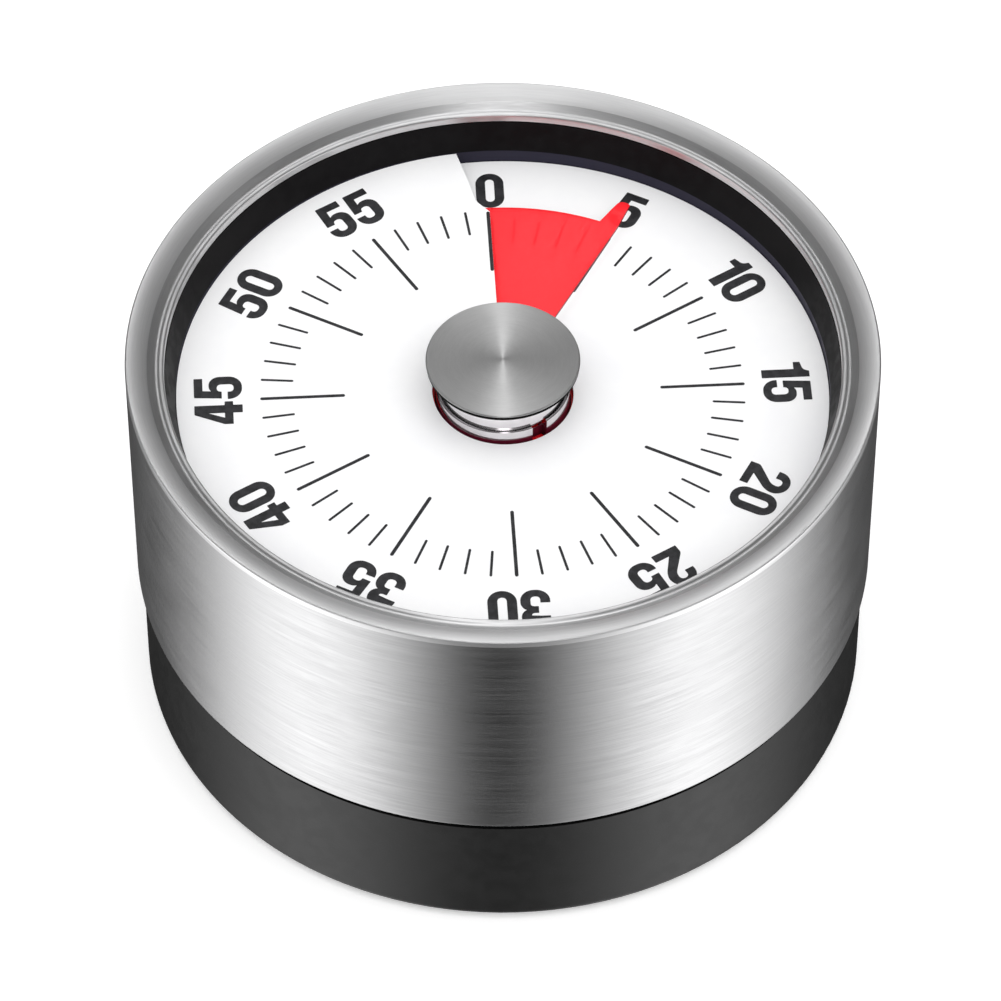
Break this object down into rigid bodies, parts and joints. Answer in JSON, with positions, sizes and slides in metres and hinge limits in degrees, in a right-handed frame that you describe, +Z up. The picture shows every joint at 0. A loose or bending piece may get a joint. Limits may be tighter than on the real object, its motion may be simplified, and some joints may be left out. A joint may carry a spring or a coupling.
{
  "type": "mechanical kitchen timer",
  "caption": "Round wind-up kitchen timer in a steel case, with a sunk ramp dial, a red disc that shows the time left, a centre knob and a black base.",
  "frame": {"origin": "centre of the underside, on the surface that it stands on", "axes": "+Z up along the knob's axis, +Y towards the dial's 0 mark"},
  "size_m": [0.078, 0.078, 0.0461],
  "materials": {
    "shell_steel": "stainless steel, brushed round the side",
    "cap_steel": "stainless steel, turned brush marks",
    "skirt_chrome": "polished",
    "dial_white": "white with black printed minute marks",
    "disc_red": "translucent red film",
    "hub_red": "dark red moulding",
    "well_black": "fine satin moulding",
    "base_black": "satin moulding",
    "foot_rubber": "matt",
    "plated_steel": "zinc plated",
    "ferrite": "sintered ferrite",
    "plate_steel": "pressed sheet",
    "brass": "cut brass",
    "arbor_steel": "turned",
    "spring_steel": "blued spring steel",
    "gear_nylon": "moulded nylon",
    "bell_steel": "pressed sheet"
  },
  "bodies": {
    "case": {"steel_shell": "shell_steel", "dial_well": "well_black", "dial_plate": "dial_white", "base": "base_black", "foot_ring": "foot_rubber", "magnet_cup": "plated_steel", "magnet": "ferrite", "case_screws": "plated_steel", "front_plate": "plate_steel", "back_plate": "plate_steel", "plate_pillars": "brass", "plate_screws": "plated_steel", "movement_screws": "plated_steel", "arbor_bush": "brass", "mainspring": "spring_steel", "spring_anchor": "arbor_steel", "stop_post": "arbor_steel", "release_post": "arbor_steel", "bell": "bell_steel", "bell_post": "arbor_steel", "bell_screw": "plated_steel", "hammer_spring": "spring_steel"},
    "knob": {"knob_cap": "cap_steel", "knob_skirt": "skirt_chrome", "disc_hub": "hub_red", "main_arbor": "arbor_steel", "main_wheel": "brass", "clutch_spring": "spring_steel", "stop_lug": "plate_steel", "alarm_cam": "gear_nylon"},
    "disc": {"time_disc": "disc_red"},
    "second": {"second_wheel": "gear_nylon"},
    "third": {"third_wheel": "gear_nylon"},
    "fourth": {"fourth_wheel": "gear_nylon"},
    "escape": {"escape_wheel": "gear_nylon"},
    "pallet": {"pallet_lever": "gear_nylon"},
    "balance": {"balance_wheel": "brass", "hairspring": "spring_steel"},
    "release": {"release_lever": "plate_steel"},
    "hammer": {"hammer_arm": "plate_steel", "hammer_head": "brass"}
  },
  "joints": [
    {"name": "knob_turn", "type": "hinge", "parent": "case", "child": "knob", "pos_m": [0, 0, 0], "axis": [0, 0, -1], "range_deg": [-30, 323.4]},
    {"name": "disc_climb", "type": "slide", "parent": "knob", "child": "disc", "axis": [0, 0, 1], "range_m": [-0.00014, 0.00142]},
    {"name": "second_turn", "type": "hinge", "parent": "case", "child": "second", "pos_m": [-0.01381, -0.00503, 0], "axis": [0, 0, -1], "continuous": true},
    {"name": "third_turn", "type": "hinge", "parent": "case", "child": "third", "pos_m": [-0.01665, 0.00539, 0], "axis": [0, 0, -1], "continuous": true},
    {"name": "fourth_turn", "type": "hinge", "parent": "case", "child": "fourth", "pos_m": [-0.01221, 0.01322, 0], "axis": [0, 0, -1], "continuous": true},
    {"name": "escape_turn", "type": "hinge", "parent": "case", "child": "escape", "pos_m": [-0.00633, 0.01738, 0], "axis": [0, 0, -1], "continuous": true},
    {"name": "pallet_rock", "type": "hinge", "parent": "case", "child": "pallet", "pos_m": [-0.00015, 0.01695, 0], "axis": [0, 0, 1], "range_deg": [-4, 4]},
    {"name": "balance_swing", "type": "hinge", "parent": "case", "child": "balance", "pos_m": [0.00733, 0.01644, 0], "axis": [0, 0, 1], "range_deg": [-150, 150], "stiffness_Nm_per_rad": 0.0000024},
    {"name": "release_lift", "type": "hinge", "parent": "case", "child": "release", "pos_m": [-0.00701, 0.01926, 0], "axis": [0, 0, -1], "range_deg": [0, 6]},
    {"name": "hammer_swing", "type": "hinge", "parent": "case", "child": "hammer", "pos_m": [0.0126, -0.02182, 0], "axis": [0, 0, -1], "range_deg": [-10, 3.9], "stiffness_Nm_per_rad": 0.0002}
  ],
  "couplings": [
    {"joint": "disc_climb", "follows": "knob_turn", "m_per_rad": 0.00024987},
    {"joint": "second_turn", "follows": "knob_turn", "ratio": -6},
    {"joint": "third_turn", "follows": "knob_turn", "ratio": 30},
    {"joint": "fourth_turn", "follows": "knob_turn", "ratio": -120},
    {"joint": "escape_turn", "follows": "knob_turn", "ratio": 360}
  ]
}
